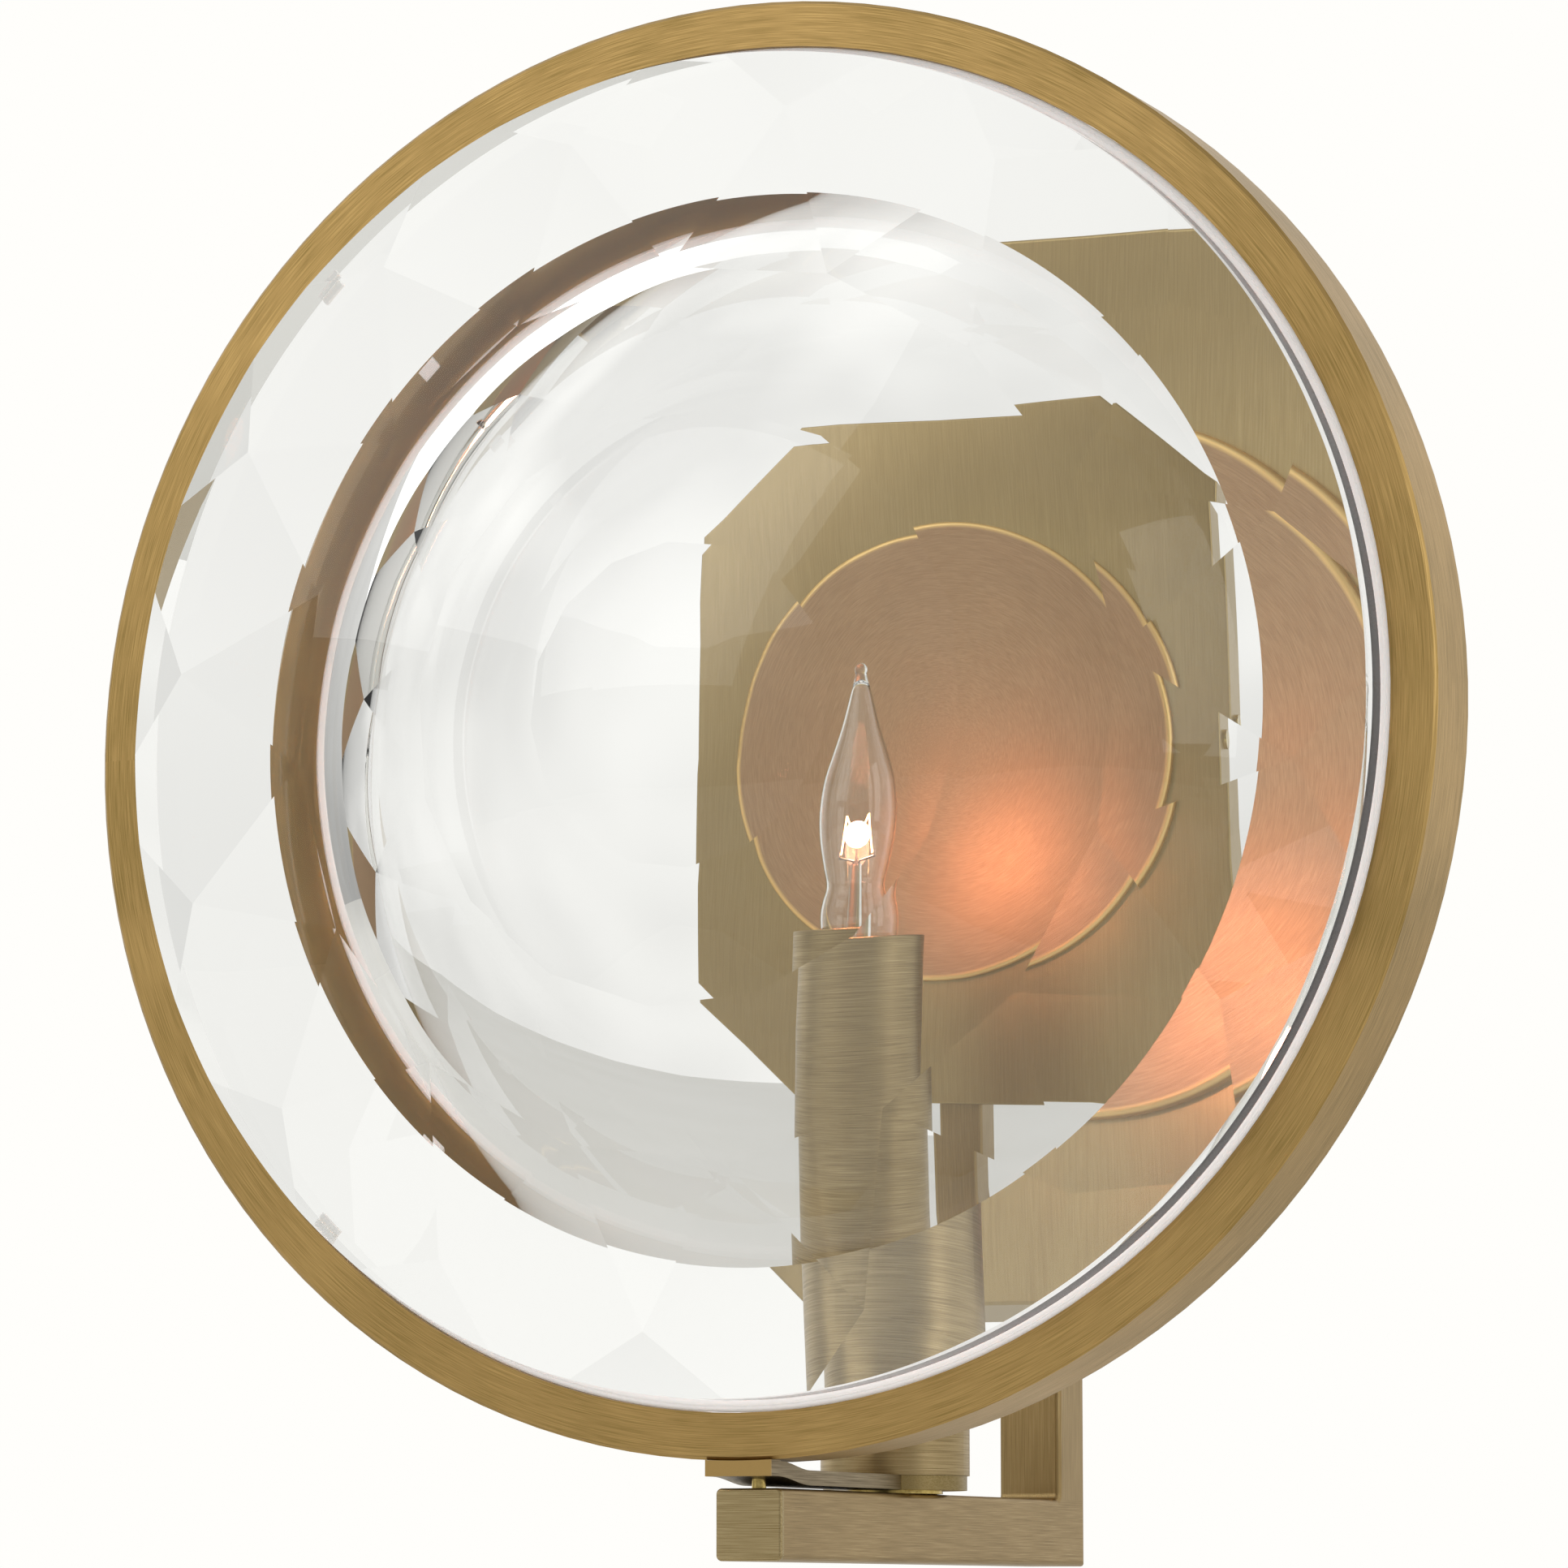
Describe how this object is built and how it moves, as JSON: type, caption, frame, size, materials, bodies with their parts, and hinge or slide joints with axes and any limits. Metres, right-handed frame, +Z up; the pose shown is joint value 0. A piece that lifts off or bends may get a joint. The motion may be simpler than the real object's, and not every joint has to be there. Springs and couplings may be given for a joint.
{
  "type": "wall sconce candle holder",
  "caption": "Wall sconce: a faceted round glass lens in a brass ring stands before an electric candle on a square L-shaped arm from an octagonal backplate.",
  "frame": {"origin": "on the wall plane, at the centre of the backplate and of the crossbar's back face", "axes": "+Y into the wall, +Z up, +X to the right as seen from the front; the lens faces -Y"},
  "size_m": [0.326, 0.2151, 0.3478],
  "materials": {
    "ring_brass": "antique brass, brushed along the circumference, bright bevel",
    "lens_glass": "polished optical glass, faceted front, hollow-ground back",
    "clear_silicone": "translucent white silicone",
    "clip_nylon": "moulded natural nylon, slightly translucent",
    "polished_brass": "polished, lacquered",
    "strap_brass": "antique brass, brushed along its length",
    "arm_brass": "antique brass, brushed along its length",
    "zinc_steel": "zinc plated",
    "sleeve_brass": "antique brass tube, brushed round",
    "socket_phenolic": "moulded phenolic",
    "socket_brass": "stamped brass",
    "bulb_glass": "clear blown glass",
    "bulb_base_metal": "rolled brass",
    "black_insulator": "vitrite glass, moulded",
    "filament_glow": "tungsten coil, glowing warm white",
    "lead_metal": "nickel wire",
    "canopy_brass": "antique brass, satin",
    "disc_brass": "antique brass, satin with a bright rim",
    "ground_green": "green dyed steel",
    "wire_black": "extruded insulation",
    "wire_white": "extruded insulation",
    "wire_nut_plastic": "moulded polypropylene"
  },
  "bodies": {
    "fixture": {"lens_ring": "ring_brass", "lens": "lens_glass", "lens_bumpers": "clear_silicone", "lens_clips": "clip_nylon", "lens_seal": "clear_silicone", "strap_pin": "polished_brass", "clip_pads": "clear_silicone", "clip_screws": "polished_brass", "lens_bracket": "strap_brass", "arm": "arm_brass", "arm_end_cap": "arm_brass", "spacer_washer": "polished_brass", "riser_tube": "zinc_steel", "riser_nut": "polished_brass", "riser_locknut": "zinc_steel", "socket_body": "socket_phenolic", "socket_shell": "socket_brass", "socket_contact": "socket_brass", "sleeve_spacer": "socket_phenolic", "canopy": "canopy_brass", "canopy_disc": "disc_brass", "disc_nuts": "zinc_steel", "arm_plate": "zinc_steel", "arm_screws": "zinc_steel", "wall_crossbar": "zinc_steel", "ground_screw": "ground_green", "side_screw_left": "polished_brass", "side_screw_right": "polished_brass", "lead_line": "wire_black", "lead_neutral": "wire_white", "wire_nut_line": "wire_nut_plastic", "wire_nut_neutral": "wire_nut_plastic"},
    "sleeve": {"candle_sleeve": "sleeve_brass"},
    "bulb_base": {"bulb_shell": "bulb_base_metal", "bulb_insulator": "black_insulator", "bulb_contact": "bulb_base_metal"},
    "bulb": {"bulb_glass": "bulb_glass", "bulb_stem": "bulb_glass", "bulb_leads": "lead_metal", "bulb_filament": "filament_glow"}
  },
  "joints": [
    {"name": "sleeve_lift", "type": "slide", "parent": "fixture", "child": "sleeve", "axis": [0, 0, 1], "range_m": [0, 0.12]},
    {"name": "bulb_lift", "type": "slide", "parent": "fixture", "child": "bulb_base", "axis": [0, 0, 1], "range_m": [0, 0.0128]},
    {"name": "bulb_turn", "type": "hinge", "parent": "bulb_base", "child": "bulb", "pos_m": [0, -0.097, -0.07], "axis": [0, 0, 1], "range_deg": [0, 1800]}
  ],
  "couplings": [
    {"joint": "bulb_lift", "follows": "bulb_turn", "m_per_rad": 0.00040425}
  ]
}
